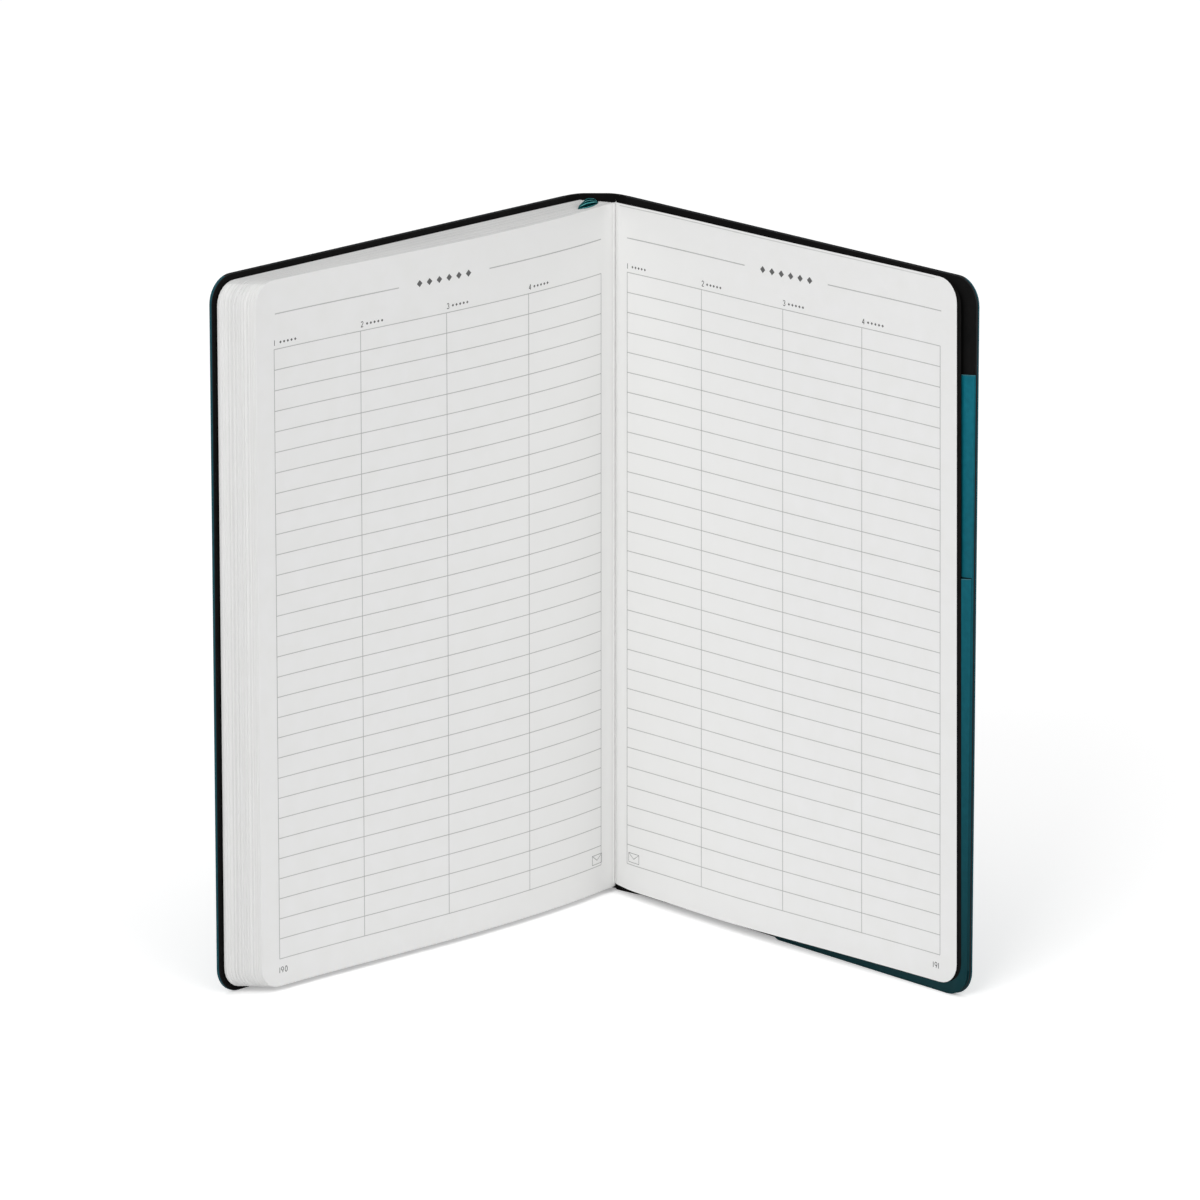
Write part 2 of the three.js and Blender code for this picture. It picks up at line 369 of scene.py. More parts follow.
# A grey line of painted shadow just under the right page's head.
head_shadow_line = plain_paper("head_shadow_line", "cbcbca", "d0d0cf", fibre=0.02)
cotton = woven("cotton", "cfcbbf", "f1eee5", 0.5, 0.9)
satin = woven("ribbon_satin", "001518", "033337", 0.55, 0.6, 0.0, 0.0)
# Paler satin for strips of painted highlight on the ribbon.
satin_highlight = woven("ribbon_highlight", "3c9092", "80cbc9", 0.55, 0.5, 0.0, 0.0)


# Covers

COVER_ARC, HEAD_EDGES = 10, 3


def cover_outline(left, width, inset):
    """Points round a cover from its lower inner corner, drawn in by inset on its free sides."""
    right, foot, head = width - inset, inset, COVER_HEIGHT - inset
    radius = COVER_RADIUS - inset
    lower = quarter(right - radius, foot + radius, radius, -90, COVER_ARC)
    upper = quarter(right - radius, head - radius, radius, 0, COVER_ARC)
    return [(left, foot), *lower, *upper, (left, head)]


def sheet(plane, profile, outline, edge_kind):
    """A flat sheet. Its edge follows profile, (out, inset) pairs from its outer to its inner face.
    outline(inset) gives its corners, and edge_kind(k, count) the material of edge k of count."""
    made = Mesh()
    loops = [made.add(*[plane.at(s, out, z) for s, z in outline(inset)]) for out, inset in profile]
    count = len(loops[0])
    for a, b in zip(loops, loops[1:]):
        for k in range(count):
            n = (k + 1) % count
            made.face([a[k], a[n], b[n], b[k]], edge_kind(k, count))
    made.face(loops[0], 0)
    made.face(loops[-1][::-1], 0)
    return made


def cover_sheet(name, plane, width, profile, materials, edges):
    """A layer of a cover. edges is the material of its edge, and its head has the second one."""
    def edge_kind(k, count):
        return 1 if count - HEAD_EDGES - 1 <= k < count - 1 else edges
    made = sheet(plane, profile, lambda inset: cover_outline(WRAP_END, width, inset), edge_kind)
    return made.build(name, materials, smooth=50)


def add_cover(prefix, plane, width, turned_in):
    """A cover: its leather, turned in over the edge this far, and its lining."""
    skin = cover_sheet(
        f"{prefix}_cover_leather", plane, width,
        [(0.0, 0.40), (0.06, 0.16), (0.2, 0.0), (turned_in - 0.1, 0.0), (turned_in, 0.12)],
        [teal_leather, black_edges], 0)
    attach(skin, f"{prefix}_cover")
    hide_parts(f"{prefix}_cover_skin", f"{prefix}_cover_card")
    lining = cover_sheet(
        f"{prefix}_cover_endpaper", plane, width,
        [(turned_in, 0.14), (COVER_THICK - 0.12, 0.12), (COVER_THICK, 0.26)],
        [black_paper, black_edges], 1)
    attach(lining, f"{prefix}_cover")
    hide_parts(f"{prefix}_cover_lining")


# The inner faces are rounded off the other way, by this share of the outer face's rounding.
INNER_SHARE = -0.4


def wrap_levels():
    """Heights up the spine, each with how far the outer face is rounded off there."""
    ends = [(0.0, 0.32), (0.12, 0.12), (0.35, 0.0)]
    between = [(COVER_HEIGHT * k / 8, 0.0) for k in range(1, 8)]
    return ends + between + [(COVER_HEIGHT - z, drawn) for z, drawn in reversed(ends)]


def wrap(name, path):
    """Skin and lining along a path of (x, y, normal x, normal y) on the skin's outer face. The
    materials are the leather, the lining, and the lining's cut edge at the head."""
    made = Mesh()

    def face_at(out, share=INNER_SHARE):
        rows = []
        for z, drawn in wrap_levels():
            o = out + drawn * share
            rows.append(made.add(*[(x + nx * o, y + ny * o, z) for x, y, nx, ny in path]))
        return rows
    outer = face_at(0.0, 1)
    middle = face_at(SKIN_THICK)
    inner = face_at(COVER_THICK)
    made.grid(outer, 0)
    made.grid(inner, 1, flip=True)
    for a, b, kind in ((outer, middle, 0), (middle, inner, 1)):
        made.grid([a[0], b[0]], kind)
        made.grid([a[-1], b[-1]], 2)
        made.sides(a, b, kind)
    return made.build(name, [teal_leather, black_paper, black_edges], smooth=60)


CORNER_STEPS, SPLIT, SEAM_GAP = 18, 10, 0.02


def corner_path(plane, mirror):
    """The skin's outer face from the spine round the hinge to the cover, as a smooth curve."""
    start = Vector((mirror * WRAP_START, HINGE_Y))
    corner = Vector((mirror * HINGE_X, HINGE_Y))
    end = Vector(plane.at(WRAP_END, 0, 0)[:2])
    path = []
    for k in range(CORNER_STEPS + 1):
        t = k / CORNER_STEPS
        point = start * (1 - t) ** 2 + corner * 2 * t * (1 - t) + end * t ** 2
        run = (corner - start) * (1 - t) + (end - corner) * t
        run.normalize()
        path.append((point.x, point.y, run.y * mirror, run.x * -mirror))
    return path


def add_hinge(prefix, plane, mirror):
    """The bend between spine and cover in two pieces. They meet where the strip turns."""
    path = corner_path(plane, mirror)
    near = wrap(f"{prefix}_hinge_to_spine", path[:SPLIT + 1])
    far = wrap(f"{prefix}_hinge_to_cover", path[SPLIT:])
    x, y, nx, ny = path[SPLIT]
    run = Vector((nx, ny)).orthogonal()
    if run.dot(Vector(plane.u)) < 0:
        run.negate()
    seam = Vector((x, y))
    start, end = Vector(path[0][:2]), Vector(path[-1][:2])
    metres((*start, 0))
    metres((*(seam - run * SEAM_GAP), 0))
    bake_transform(near)
    metres((*(seam + run * SEAM_GAP), 0))
    metres((*end, 0))
    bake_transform(far)
    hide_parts(f"{prefix}_hinge_strip")


def add_spine():
    """The flat part between the two bends."""
    path = [(WRAP_START * (k / 6 * 2 - 1), HINGE_Y, 0, -1) for k in range(7)]
    spine = wrap("spine_leather", path)
    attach(spine, "spine")
    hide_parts("spine_skin", "spine_card", "spine_lining")


# Leaves

LEAF_REACH = 168.0
BOW = 5.2
FIRST_LEAF_OUT, FIRST_LEAF_RUN = -0.44, 12
TOP_LOOSE = 1.05
FOLD_WIDTH, GUTTER_RISE, GUTTER_WIDTH = 30, 0.75, 3.0
RIBBON_GAP, RIBBON_SIGNATURE = 0.2518, 6
LEAF_CORNERS = 7


def bow_shape(s):
    """The rise of an open page over its flat place, as a share of the highest rise."""
    t = s / LEAF_REACH
    return 6.75 * t * (1 - t) ** 2


def top_page(s):
    """The height of the open left page over its signature's plane."""
    near = math.exp(-((s / FOLD_WIDTH) ** 2)) + GUTTER_RISE * math.exp(-((s / GUTTER_WIDTH) ** 2))
    return TOP_LOOSE + BOW * bow_shape(s) + near


def first_page(s):
    """The height of the leaf that lies on the front cover."""
    return FIRST_LEAF_OUT * (1 - math.exp(-max(s, 0) / FIRST_LEAF_RUN))


def leaf_face(signature, leaf):
    """How far a face between two leaves lies from its signature's own plane. The signatures
    before the ribbon's tail are a little thicker, to fill the gap that the solids leave for it."""
    share = (signature * LEAVES + leaf) / (SIGNATURES * LEAVES)
    step = SIGNATURE_PITCH / LEAVES * leaf
    if signature < RIBBON_SIGNATURE:
        step += RIBBON_GAP * (signature * LEAVES + leaf) / (RIBBON_SIGNATURE * LEAVES)

    def out(s):
        return step + (1 - share) * first_page(s) + share * (top_page(s) - SIGNATURE_PITCH)
    return out


def stations(start, end):
    """Places along a leaf, with the height that its round corner takes off there. They are
    close together near the fold, where the leaf curves most."""
    places = [(start, 0.0)]
    s, straight = start, end - LEAF_RADIUS
    while s < straight - 0.6:
        s += 1.6 if s < 8 else 3.2 if s < 60 else 5.5
        if s < straight - 0.4:
            places.append((s, 0.0))
    for k in range(LEAF_CORNERS + 1):
        a = math.pi / 2 * k / LEAF_CORNERS
        places.append((straight + LEAF_RADIUS * math.sin(a), LEAF_RADIUS * (1 - math.cos(a))))
    return places


def rounded(low, high, back):
    """Two faces drawn together at a rounded edge. back is how far the place lies behind it."""
    part = math.sqrt(max(0.02, 1 - back ** 2))
    middle = (low + high) / 2
    return middle + (low - middle) * part, middle + (high - middle) * part


def add_leaf(made, plane, low, high, start, end, kinds, rounding=0.0, shift=0.0):
    """One leaf as a closed slab between two faces. kinds are for its faces, its head and foot,
    and its fore edge."""
    rows = []
    for s, cut in stations(start, end):
        a, b = low(s), high(s)
        if rounding and s < start + rounding:
            a, b = rounded(a, b, (start + rounding - s) / rounding)
        foot, head = LEAF_FOOT + cut + shift, LEAF_HEAD - cut + shift
        rows.append(made.add(plane.at(s, a, foot), plane.at(s, b, foot),
                             plane.at(s, b, head), plane.at(s, a, head)))
    for k, (a, b) in enumerate(zip(rows, rows[1:])):
        edge = kinds[2] if k >= len(rows) - LEAF_CORNERS + 1 else kinds[1]
        made.face([a[0], a[1], b[1], b[0]], edge)
        made.face([a[1], a[2], b[2], b[1]], kinds[0])
        made.face([a[2], a[3], b[3], b[2]], edge)
        made.face([a[3], a[0], b[0], b[3]], kinds[0])
    made.face(rows[0][::-1], kinds[0])
    made.face(rows[-1], kinds[2])


def ease(t):
    """From 0 to 1 with level ends."""
    return t * t * (3 - 2 * t)


def lag_start(rise, angle):
    """How far behind the fold a blend starts, so that a half turn by angle lags by rise at most."""
    def most(back):
        best = 0.0
        for k in range(1, 40):
            s = LEAF_REACH * k / 40
            t = (s + back) / (LEAF_REACH + back)
            best = max(best, s * (1 - ease(t)) * angle)
        return best
    # Halving the range again and again finds the nearest start with a small enough lag.
    low, high = 10.0, 60000.0
    for _ in range(60):
        middle = math.sqrt(low * high)
        low, high = (middle, high) if most(middle) > rise else (low, middle)
    return low


CLOSING_ANGLE = 44


def bend_with(piece, plane, rise):
    """Bakes the piece's place into its mesh. The blend's start behind the fold, for a bow rise
    high, is worked out but not used.
    """
    back = lag_start(rise, math.radians(CLOSING_ANGLE))
    metres(plane.at(-back, 0, 0))
    metres(plane.at(LEAF_REACH, 0, 0))
    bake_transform(piece)


FORE_EDGE, LOWER_EXTRA, SIGNATURE_SLANT = 168.5, 0.45, 0.35
BLOCK_START, GUTTER_REACH, TOP_LEAF_START, TOP_LEAF_TRIM = 0.2, 0.75, -0.95, 0.30
UNEVEN_ENDS, UNEVEN_HEADS = (-0.14, 0.10), (-0.10, 0.08)
# The second look gives the head and foot edges their painted shade.
PAGE_LOOKS = [page_paper, shaded_head_edges, fore_edges]


def signature_rise(index):
    """How high the middle leaf of a signature bows."""
    return BOW * (index * LEAVES + LEAVES / 2) / (SIGNATURES * LEAVES)


def leaf_reach(index, leaf, width):
    """Where a leaf starts and ends. The leaves of the last signature reach towards the gutter."""
    last = index == SIGNATURES - 1
    start = BLOCK_START - (GUTTER_REACH * (leaf / (LEAVES - 1)) ** 2 if last else 0.0)
    end = width - SIGNATURE_SLANT * leaf / LEAVES + random.uniform(*UNEVEN_ENDS)
    end += LOWER_EXTRA * (1 - index / (SIGNATURES - 1))
    if last and leaf == LEAVES - 1:
        return TOP_LEAF_START, width - TOP_LEAF_TRIM
    return start, end


def add_signature(index):
    """The leaves of one signature, a little uneven at their ends and heads."""
    made = Mesh()
    plane = folds[index]
    fold_depth = HINGE_Y - plane.y
    for leaf in range(LEAVES):
        made.tone = random.random()
        low, high = leaf_face(index, leaf), leaf_face(index, leaf + 1)
        start, end = leaf_reach(index, leaf, FORE_EDGE - fold_depth)
        add_leaf(made, plane, low, high, start, end, (0, 1, 2),
                 rounding=0.4, shift=random.uniform(*UNEVEN_HEADS))
    piece = made.build(f"page_block_{index + 1:02d}", PAGE_LOOKS, 40)
    bend_with(piece, plane, signature_rise(index))
    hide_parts(f"signature_{index + 1:02d}")


# The right-hand page of the spread as (along, out) points over the back cover's outer plane. A
# smooth curve joins them: it rises from the gutter and comes down over the pocket.
RIGHT_PAGE = [(-0.4, 2.3), (0.5, 3.5), (1.5, 4.4), (4, 4.95), (13, 5.75), (28, 6.35), (44, 6.7),
              (60, 6.85), (75, 6.75), (90, 6.35), (106, 5.7), (120, 5.0), (140, 4.0),
              (155, 3.45), (166, 3.3)]
RIGHT_START = 2.5
RIGHT_THICK, RIGHT_END = 0.12, 161.8
BEND_START = 30
RIGHT_RAISE, RAISE_RUN, RIGHT_DROOP, RIGHT_SHRINK, RIGHT_LEAN = 1.5, 25, 0.3, 0.5, 1.7
PAGE_SAG, SAG_MIDDLE, SAG_WIDTH = 0.75, 55, 32
FOLD_RISE, RISE_WIDTH = 1.0, 8
NEAR_FOOT = 8

FLYLEAF_END, FLYLEAF_THICK, FLYLEAF_SHRINK = 163.4, 0.16, 0.7
FLYLEAF_LOW, FLYLEAF_CLIMB, CLIMB_END = 1.62, 1.22, 76
FLYLEAF_DROP, DROP_START, DROP_END = 2.75, 9, 24
FLYLEAF_SWELL, SWELL_WIDTH = 1.15, 7


def slopes(points):
    """Slopes at the points that keep the curve from overshooting them."""
    steps = [(b[1] - a[1]) / (b[0] - a[0]) for a, b in zip(points, points[1:])]
    inside = [2 * p * q / (p + q) if p * q > 0 else 0.0 for p, q in zip(steps, steps[1:])]
    return [steps[0], *inside, steps[-1]]


RIGHT_SLOPES = slopes(RIGHT_PAGE)


def over_cover(s):
    """The right-hand page's height over the back cover's outer plane."""
    k = 0
    while k < len(RIGHT_PAGE) - 2 and s > RIGHT_PAGE[k + 1][0]:
        k += 1
    (a, ya), (b, yb) = RIGHT_PAGE[k], RIGHT_PAGE[k + 1]
    h = b - a
    t = (s - a) / h
    return (ya * (2 * t ** 3 - 3 * t ** 2 + 1) + RIGHT_SLOPES[k] * h * (t ** 3 - 2 * t ** 2 + t)
            + yb * (3 * t ** 2 - 2 * t ** 3) + RIGHT_SLOPES[k + 1] * h * (t ** 3 - t ** 2))


def raise_at(s):
    """How much higher a leaf over the back cover stands than the block."""
    return RIGHT_RAISE * (1 - math.exp(-s / RAISE_RUN))


class Raised:
    """A leaf over the back cover. It stands a little higher than the block, and its edge leans.
    Its foot hangs down by lower(s), and shrink draws its foot and head in."""

    def __init__(self, lower, shrink=0.0):
        self.lower, self.shrink = lower, shrink

    def at(self, s, out, z):
        s_open = max(0.0, s)
        part = s_open / LEAF_REACH
        up = (z - COVER_HEIGHT / 2) / (COVER_HEIGHT / 2)
        lift = raise_at(s_open) - RIGHT_DROOP * part ** 3
        lift -= (self.shrink + RIGHT_SHRINK * part ** 2) * up
        lift -= self.lower(s_open) * max(0.0, -up) ** NEAR_FOOT
        return back_plane.at(s + RIGHT_START - RIGHT_LEAN * part * up, out, z + lift)


def page_foot(s):
    """The last page is drawn up at the fold, and sags between the fold and the pocket."""
    sag = PAGE_SAG * math.exp(-(((s - SAG_MIDDLE) / SAG_WIDTH) ** 2))
    return sag - FOLD_RISE * math.exp(-((s / RISE_WIDTH) ** 2))


def flyleaf_foot(s):
    """The flyleaf reaches down to the lining's foot beside the fold."""
    t = min(1.0, max(0.0, (s - DROP_START) / (DROP_END - DROP_START)))
    return (FLYLEAF_DROP + raise_at(s)) * (1 - ease(t))


raised = Raised(page_foot)


def turn_with(piece):
    """Bakes the piece's place into its mesh. Two places along the last leaf's plane are worked out
    but not used.
    """
    metres(last_plane.at(-BEND_START, 0, 0))
    metres(last_plane.at(LEAF_REACH, 0, 0))
    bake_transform(piece)


def add_last_leaf():
    made = Mesh()
    made.tone = 0.8
    add_leaf(made, raised, lambda s: over_cover(s) - RIGHT_THICK, over_cover, -0.4, RIGHT_END,
             (0, 1, 2), rounding=0.3)
    piece = made.build("last_page", PAGE_LOOKS, 40)
    turn_with(piece)
    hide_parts("last_leaf")


def flyleaf_out(s):
    """The flyleaf swells beside the fold, climbs to the pocket, and then lies on it."""
    swell = FLYLEAF_SWELL * math.exp(-((s / SWELL_WIDTH) ** 2))
    return FLYLEAF_LOW + FLYLEAF_CLIMB * ease(min(1.0, s / CLIMB_END)) + swell


def add_back_flyleaf():
    made = Mesh()
    place = Raised(flyleaf_foot, FLYLEAF_SHRINK)
    add_leaf(made, place, flyleaf_out, lambda s: flyleaf_out(s) + FLYLEAF_THICK, 0.3,
             FLYLEAF_END, (0, 0, 0))
    piece = made.build("back_endpaper", [black_paper], 40)
    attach(piece, "back_strip")
    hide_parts("back_flyleaf")


# Print on the pages

PRINT_LIFT = 0.025
FIRST_LINE, LAST_LINE, ROWS = 216.2, 11.1, 30
LINE_WIDTH = 0.27
LEFT_COLUMNS = [155.98, 118.9, 81.8, 44.2, 6.95]
RIGHT_COLUMNS = [8.3, 45.7, 84.3, 119.8, 154.4]
TITLE_HEIGHT, TITLE_LINE = 227.9, 0.34
TITLE_MARKS, TITLE_PITCH, TITLE_MARK = 6, 4.3, 1.2
COLUMN_DIGIT, DIGIT_Z = 1.8, FIRST_LINE + 1.25
COLUMN_MARKS, MARK_START, MARK_PITCH = 5, 2.8, 1.6
MARK_SIZE, MARK_Z = 0.5, FIRST_LINE + 2.1
# Shares of a digit's height.
DIGIT_WIDE, DIGIT_GAP, DIGIT_LINE = 0.52, 0.36, 0.13
NUMBER_HEIGHT, NUMBER_Z = 1.9, 6.3
ENVELOPE_WIDE, ENVELOPE_HIGH, ENVELOPE_Z, ENVELOPE_LINE = 5.3, 3.2, 12.0, 0.15
DOT_COLUMNS, DOT_ROWS, DOT_START, DOT_PITCH, DOT_RADIUS = 31, 46, 8, 5, 0.27
PAGE_INKS = [print_grey, print_dark, crease_highlight, print_fine, head_shadow_line]
GREY, DARK, CREASE_HIGHLIGHT, FINE, HEAD_SHADOW = range(5)


class Print:
    """Flat ink on a curved page. surface(s) is the page's face, and the ink stands off by lift."""

    def __init__(self, plane, surface, lift=PRINT_LIFT):
        self.made, self.plane, self.surface, self.lift = Mesh(), plane, surface, lift

    def point(self, s, z):
        return self.plane.at(s, self.surface(s) + self.lift, z)

    def shape(self, corners, kind=GREY):
        self.made.face(self.made.add(*[self.point(s, z) for s, z in corners]), kind)

    def bar(self, s0, s1, z, width=LINE_WIDTH, kind=GREY):
        steps = max(1, int(abs(s1 - s0) / 3))
        low = [self.point(s0 + (s1 - s0) * k / steps, z - width / 2) for k in range(steps + 1)]
        high = [self.point(s0 + (s1 - s0) * k / steps, z + width / 2) for k in range(steps + 1)]
        self.made.grid([self.made.add(*low), self.made.add(*high)], kind)

    def upright(self, s, z0, z1, width=LINE_WIDTH, kind=GREY):
        self.shape([(s - width / 2, z0), (s + width / 2, z0), (s + width / 2, z1),
                    (s - width / 2, z1)], kind)

    def stroke(self, points, width, kind=DARK):
        """A thin line through points."""
        for (s0, z0), (s1, z1) in zip(points, points[1:]):
            length = math.hypot(s1 - s0, z1 - z0)
            a, b = -(z1 - z0) / length * width / 2, (s1 - s0) / length * width / 2
            self.shape([(s0 + a, z0 + b), (s1 + a, z1 + b), (s1 - a, z1 - b), (s0 - a, z0 - b)],
                       kind)

    def digits(self, text, s, z, height, toward):
        """Plain digits from (s, z). toward is 1 where s grows from left to right on the page."""
        width, gap = height * DIGIT_WIDE, height * DIGIT_GAP
        for character in text:
            for line in DIGITS[character]:
                self.stroke([(s + toward * x * width, z + y * height) for x, y in line],
                            height * DIGIT_LINE, FINE)
            s += toward * ((width if character != "1" else 0.0) + gap)

    def diamond(self, s, z, size):
        self.shape([(s - size, z), (s, z - size), (s + size, z), (s, z + size)], DARK)


DIGITS = {
    "0": [ring(0.5, 0.5, 0.5, 0.5)],
    "1": [[(0.0, 1.0), (0.0, 0.0)]],
    "2": [ring(0.5, 0.72, 0.46, 0.28, 170, -40, 9) + [(0.0, 0.0), (1.0, 0.0)]],
    "3": [ring(0.45, 0.75, 0.42, 0.25, 160, -90, 8), ring(0.45, 0.26, 0.5, 0.26, 90, -160, 9)],
    "4": [[(0.75, 0.0), (0.75, 1.0), (0.0, 0.28), (1.0, 0.28)]],
    "9": [ring(0.5, 0.7, 0.5, 0.3), [(0.98, 0.62), (0.55, 0.0)]],
}


def table(page, columns, toward):
    """Ruled rows in four columns, each with its number and small marks over it."""
    first, last = columns[0], columns[-1]
    pitch = (FIRST_LINE - LAST_LINE) / ROWS
    for row in range(ROWS + 1):
        page.bar(first, last, LAST_LINE + pitch * row)
    for s in columns:
        page.upright(s, LAST_LINE, FIRST_LINE)
    for number, s in enumerate(columns[:-1]):
        page.digits(str(number + 1), s + toward * 0.2, DIGIT_Z, COLUMN_DIGIT, toward)
        for k in range(COLUMN_MARKS):
            page.diamond(s + toward * (MARK_START + MARK_PITCH * k), MARK_Z, MARK_SIZE)


def title(page, rules, start, toward):
    """A row of diamonds between two rules."""
    for first, last in rules:
        page.bar(first, last, TITLE_HEIGHT, TITLE_LINE)
    for k in range(TITLE_MARKS):
        page.diamond(start + toward * k * TITLE_PITCH, TITLE_HEIGHT, TITLE_MARK)


def envelope(page, s, toward):
    low, high, far = ENVELOPE_Z, ENVELOPE_Z + ENVELOPE_HIGH, s + toward * ENVELOPE_WIDE
    page.stroke([(s, low), (far, low), (far, high), (s, high), (s, low)], ENVELOPE_LINE)
    page.stroke([(s, high), ((s + far) / 2, low + ENVELOPE_HIGH * 0.4), (far, high)], ENVELOPE_LINE)


def crease(page, s, width):
    """A pale line of painted highlight beside the fold, a little short of the page's foot and head.
    """
    page.upright(s, LEAF_FOOT + 0.3, LEAF_HEAD - 0.3, width, CREASE_HIGHLIGHT)


def add_left_print():
    page = Print(folds[-1], top_page)
    table(page, LEFT_COLUMNS, -1)
    title(page, [(155.5, 102.4), (62.5, 6.95)], 93.5, -1)
    # A painted highlight beside the fold.
    crease(page, 0.25, 0.9)
    page.digits("190", 156.0, NUMBER_Z, NUMBER_HEIGHT, -1)
    envelope(page, 11.9, -1)
    piece = page.made.build("left_page_print", PAGE_INKS)
    bend_with(piece, folds[-1], signature_rise(SIGNATURES - 1))


def add_right_print():
    page = Print(raised, over_cover)
    table(page, RIGHT_COLUMNS, 1)
    title(page, [(8.3, 66.5), (104.7, 154.9)], 75.0, 1)
    # A painted highlight beside the fold.
    crease(page, 1.8, 0.8)
    # A line of painted shadow just under the head.
    page.bar(1.5, 152.0, LEAF_HEAD - 0.75, TITLE_LINE, HEAD_SHADOW)
    page.digits("191", 151.4, NUMBER_Z, NUMBER_HEIGHT, 1)
    envelope(page, 9.2, 1)
    piece = page.made.build("right_page_print", PAGE_INKS)
    turn_with(piece)


def add_dots():
    """The dots on the back of the last leaf."""
    page = Print(raised, lambda s: over_cover(s) - RIGHT_THICK, -PRINT_LIFT)
    for column in range(DOT_COLUMNS):
        for row in range(DOT_ROWS):
            page.shape(ring(DOT_START + DOT_PITCH * column, DOT_START + DOT_PITCH * row,
                            DOT_RADIUS, DOT_RADIUS, 0, 300, 5))
    piece = page.made.build("back_page_dots", [print_grey])
    turn_with(piece)


# Pocket

POCKET_START, POCKET_END, POCKET_FOOT = 78.8, 169.95, 0.12
POCKET_BACK, POCKET_FRONT = 208.8, 141.2
POCKET_BACK_OUT, GUSSET_OUT, POCKET_FRONT_OUT = 1.4, 1.9, 2.4
PANEL_THICK, PANEL_RADIUS, FRONT_SAG = 0.4, 3, 1.4
PANEL_ARC, MOUTH_STEPS = 6, 16
TURNED_UP, TURNED_RUN = 0.9, 0.03
GUSSET_START, GUSSET_FOOT, GUSSET_TILT, GUSSET_STEPS = POCKET_END - 12, 9.1, 0.09, 24
CREASE_S, CREASE_DEEP, CREASE_WIDTH = 164.6, 0.24, 0.8
SIDE_DEEP, SIDE_WIDTH, HEAD_DEEP = 0.05, 1.5, 0.1
GUSSET_LEVELS = (GUSSET_FOOT, 60, POCKET_FRONT - 1, POCKET_FRONT + 0.2, POCKET_FRONT + 0.75,
                 POCKET_BACK - 0.2, POCKET_BACK)
POCKET_LOOKS = [pocket_leather, pocket_cut, pocket_shade]
PLAIN, CUT, SHADE = range(3)


def panel_outline(height, inset, sag):
    """A panel with round lower corners. Its top edge sags, and turns up at the fore edge."""
    left, right = POCKET_START + inset, POCKET_END - inset
    foot = POCKET_FOOT + inset
    small, large = PANEL_RADIUS - inset, COVER_RADIUS - inset
    points = quarter(left + small, foot + small, small, 180, PANEL_ARC)
    points += quarter(right - large, foot + large, large, -90, PANEL_ARC)
    for k in range(MOUTH_STEPS + 1):
        t = k / MOUTH_STEPS
        rise = TURNED_UP * math.exp(-t / TURNED_RUN) - sag * math.sin(math.pi * t)
        points.append((right + (left - right) * t, height - inset + rise))
    return points


def dress_pocket(piece, node):
    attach(piece, "back_cover")
    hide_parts(node)


def add_panel(name, node, out, height, sag):
    """A pocket panel with rounded edges, its top edge cut with a paler rim."""
    profile = [(out, 0.12), (out + 0.08, 0.0), (out + PANEL_THICK - 0.1, 0.0),
               (out + PANEL_THICK, 0.16)]

    def edge_kind(k, count):
        return CUT if count - MOUTH_STEPS - 1 <= k < count - 1 else PLAIN
    made = sheet(back_plane, profile, lambda inset: panel_outline(height, inset, sag), edge_kind)
    dress_pocket(made.build(name, POCKET_LOOKS[:2], smooth=50), node)


def gusset_rows(made, section, drop=0.0):
    """A face of the gusset from foot to head, where it lies back by drop. section is (s, out)
    pairs across it."""
    rows = []
    for z in GUSSET_LEVELS:
        back = drop if z == POCKET_BACK else 0.0
        rows.append(made.add(*[back_plane.at(s, out - back, z + GUSSET_TILT * (s - CREASE_S))
                               for s, out in section]))
    return rows


def add_gusset():
    """The strip at the fore edge, with a crease along it and a shade over the front panel."""
    made = Mesh()
    section = []
    for k in range(GUSSET_STEPS + 1):
        s = GUSSET_START + (POCKET_END - GUSSET_START) * k / GUSSET_STEPS
        dip = CREASE_DEEP * max(0.0, 1 - abs(s - CREASE_S) / CREASE_WIDTH)
        dip += SIDE_DEEP * math.exp(-(((s - GUSSET_START) / SIDE_WIDTH) ** 2))
        section.append((s, GUSSET_OUT + PANEL_THICK - dip))
    front = gusset_rows(made, section, HEAD_DEEP)
    back = gusset_rows(made, [(s, GUSSET_OUT) for s, _ in section])
    made.grid(front[:4], PLAIN)
    made.grid(front[3:5], SHADE)
    made.grid(front[4:], PLAIN)
    made.grid(back, PLAIN, flip=True)
    made.grid([front[0], back[0]], PLAIN)
    made.grid([front[-1], back[-1]], CUT)
    made.sides(front, back)
    dress_pocket(made.build("pocket_side_fold", POCKET_LOOKS, smooth=40), "pocket_gusset")


# Ribbon

# The ribbon's nearer and farther edge, from where it leaves the spine to where it dips between
# the leaves.
RIBBON_NEAR = [(0.74, -7.1, 239.3), (-0.2, -9.79, 239.3), (-1.52, -12.44, 239.3),
               (-3.17, -14.45, 239.3), (-4.52, -15.35, 239.3), (-5.66, -16.04, 239.3),
               (-6.03, -16.3, 239.25)]
RIBBON_FAR = [(0.74, -6.7, 239.42), (-0.2, -6.09, 240.23), (-1.52, -6.78, 240.77),
              (-3.17, -8.22, 240.85), (-4.52, -11.09, 240.4), (-5.66, -13.89, 239.87),
              (-6.03, -16.05, 239.3)]
RIBBON_THICK, RIBBON_PUFF, PUFF_FULL = 0.18, 0.3, 6
RIBBON_STEPS, RIBBON_STRIPS = 30, 20
# Which strips across the ribbon carry painted highlights.
RIBBON_HIGHLIGHTS = (0, 7, 8, 13, 19)


